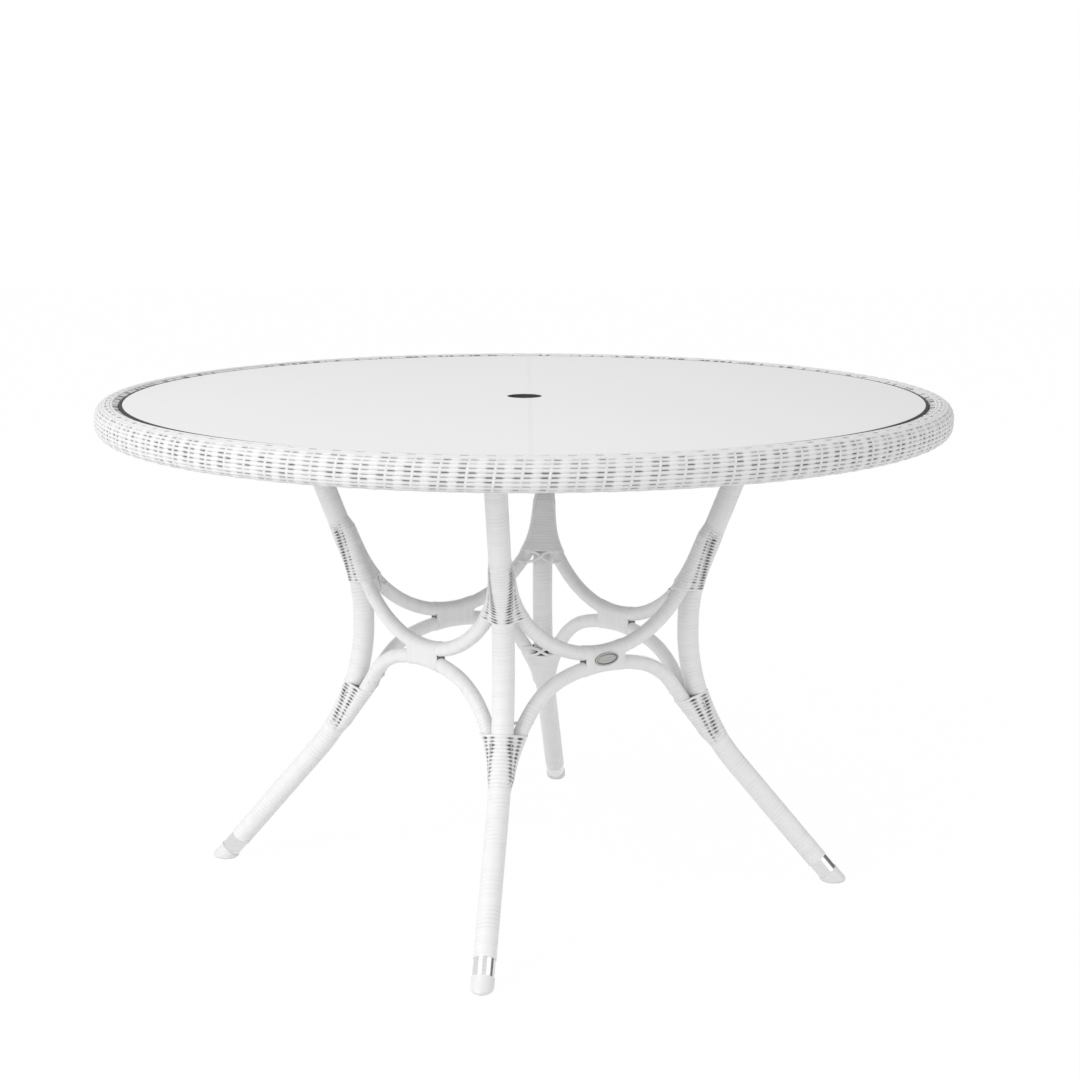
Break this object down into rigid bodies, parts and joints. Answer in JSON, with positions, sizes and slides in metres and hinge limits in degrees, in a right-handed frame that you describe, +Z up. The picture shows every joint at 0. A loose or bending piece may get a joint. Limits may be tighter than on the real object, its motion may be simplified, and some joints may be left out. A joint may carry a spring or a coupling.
{
  "type": "umbrella table",
  "caption": "Round garden table with a woven rim, an inset glass top with a parasol hole, and a base of splayed wrapped poles tied to U-shaped arches.",
  "frame": {"origin": "on the floor under the table's axis", "axes": "+Z up; -Y towards the front of the picture's view, +X to its right"},
  "size_m": [1.2998, 1.2998, 0.768],
  "materials": {
    "wrapped_pole": "white synthetic peel wound closely round an aluminium tube",
    "peel_binding": "white synthetic peel bound over the joints",
    "woven_fibre": "white synthetic fibre in a close weave",
    "polished_collar": "polished",
    "white_glide": "moulded, satin",
    "frosted_glass": "pale frosted, near opaque",
    "soft_pad": "soft, translucent",
    "zinc_bolt": "plated",
    "white_frame": "white powder coat"
  },
  "bodies": {
    "table": {"base_bolts": "zinc_bolt", "base_ring": "white_frame", "foot_collar_back": "polished_collar", "foot_collar_front": "polished_collar", "foot_collar_left": "polished_collar", "foot_collar_right": "polished_collar", "foot_glide_back": "white_glide", "foot_glide_front": "white_glide", "foot_glide_left": "white_glide", "foot_glide_right": "white_glide", "glass_pads": "soft_pad", "leg_back": "wrapped_pole", "leg_front": "wrapped_pole", "leg_left": "wrapped_pole", "leg_right": "wrapped_pole", "lower_arch_back_left": "wrapped_pole", "lower_arch_back_right": "wrapped_pole", "lower_arch_front_left": "wrapped_pole", "lower_arch_front_right": "wrapped_pole", "lower_binding_back": "peel_binding", "lower_binding_front": "peel_binding", "lower_binding_left": "peel_binding", "lower_binding_right": "peel_binding", "parasol_guide": "white_frame", "rail_back": "white_frame", "rail_front": "white_frame", "rail_left": "white_frame", "rail_right": "white_frame", "rim_hoop": "white_frame", "rim_weave": "woven_fibre", "side_binding_back_left": "peel_binding", "side_binding_back_right": "peel_binding", "side_binding_front_left": "peel_binding", "side_binding_front_right": "peel_binding", "upper_arch_back_left": "wrapped_pole", "upper_arch_back_right": "wrapped_pole", "upper_arch_front_left": "wrapped_pole", "upper_arch_front_right": "wrapped_pole", "upper_binding_back": "peel_binding", "upper_binding_front": "peel_binding", "upper_binding_left": "peel_binding", "upper_binding_right": "peel_binding"},
    "glass_pane": {"glass_top": "frosted_glass"}
  },
  "joints": [
    {"name": "glass_lift", "type": "slide", "parent": "table", "child": "glass_pane", "axis": [0, 0, 1], "range_m": [0, 0.12]}
  ]
}
